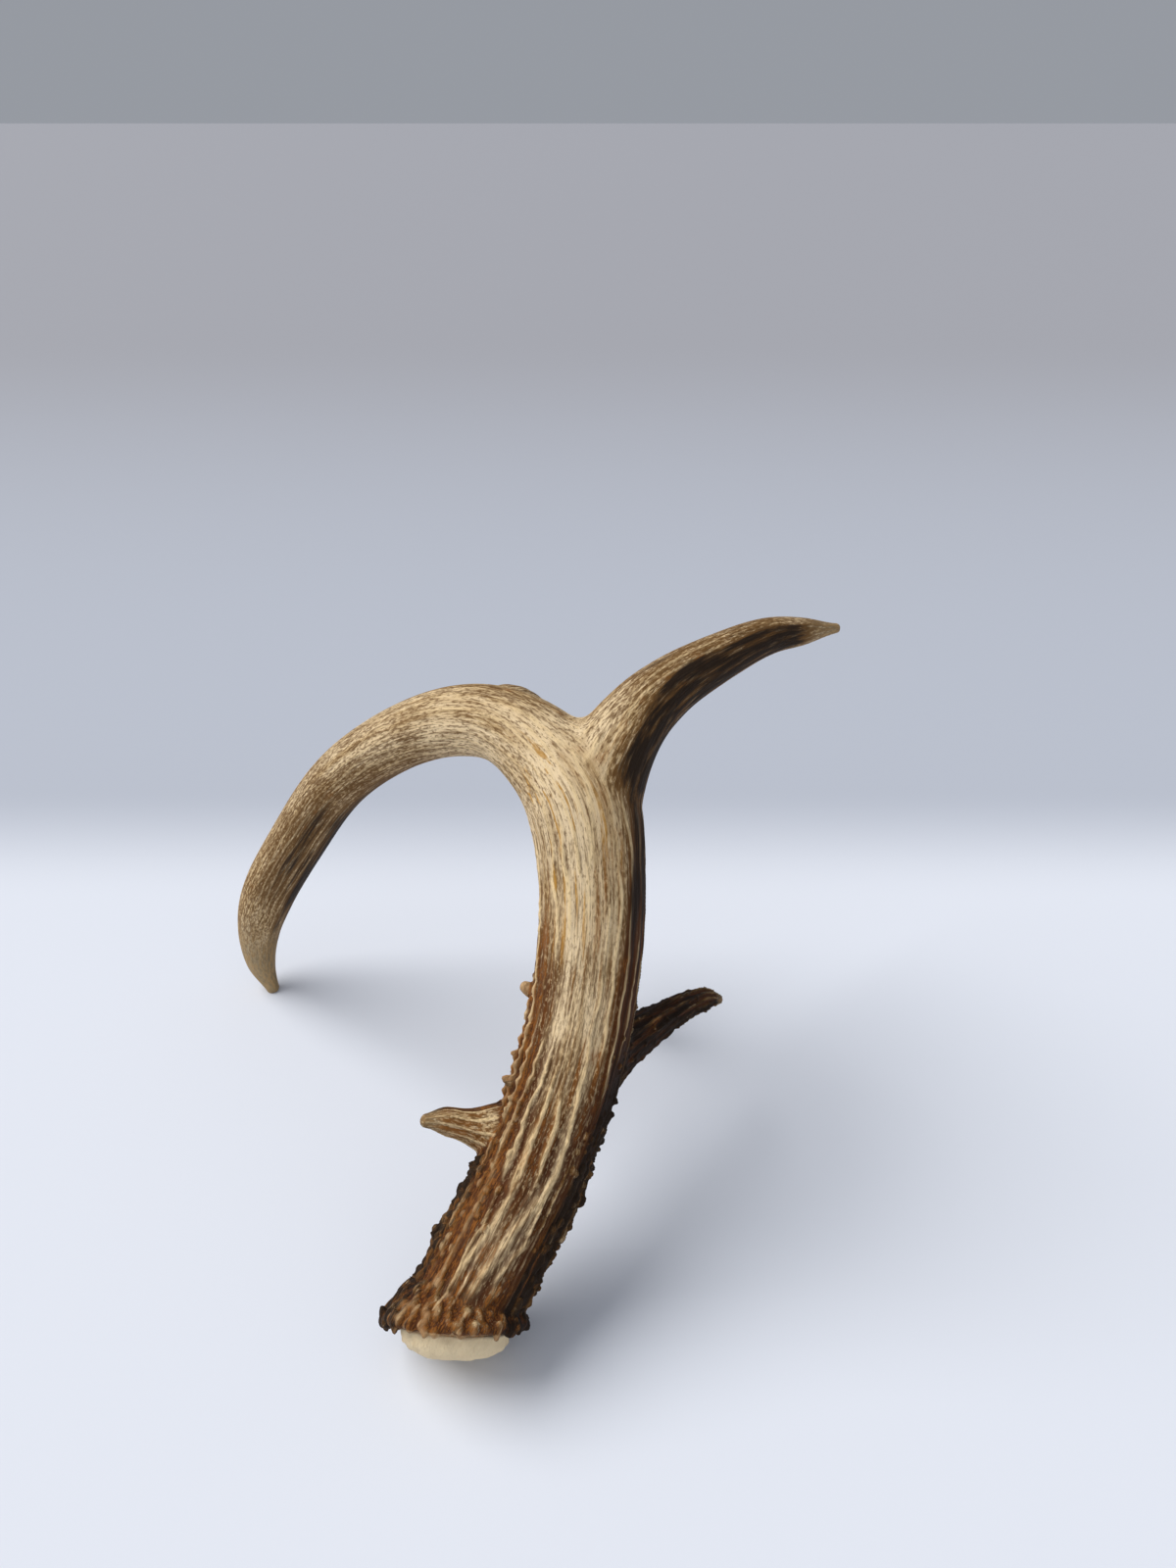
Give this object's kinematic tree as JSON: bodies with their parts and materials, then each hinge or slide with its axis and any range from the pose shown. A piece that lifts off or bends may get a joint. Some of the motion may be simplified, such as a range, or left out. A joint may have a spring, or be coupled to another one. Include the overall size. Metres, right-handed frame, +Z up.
{
  "type": "deer antler",
  "caption": "Shed deer antler: a ridged main beam rises from a knobbed burr and arches over to its tip, with curved tines growing from it.",
  "frame": {"origin": "on the floor, at the middle of the small flat on the burr's lowest edge, which the antler rests on", "axes": "+Z up, +Y away from the viewer, in the direction in which the beam leans, +X to the viewer's right, where the second tine points"},
  "size_m": [0.2744, 0.2295, 0.203],
  "materials": {
    "base_antler": "rough, ridged and pearled, mahogany grooves between cream ridges",
    "brow_antler": "rough, dark brown",
    "upper_antler": "satin, pale tan with fine brown streaks"
  },
  "bodies": {
    "root": {"lower_beam": "base_antler", "brow_tine": "brow_antler", "second_tine": "upper_antler", "beam_end": "upper_antler", "third_tine": "upper_antler"}
  },
  "joints": []
}
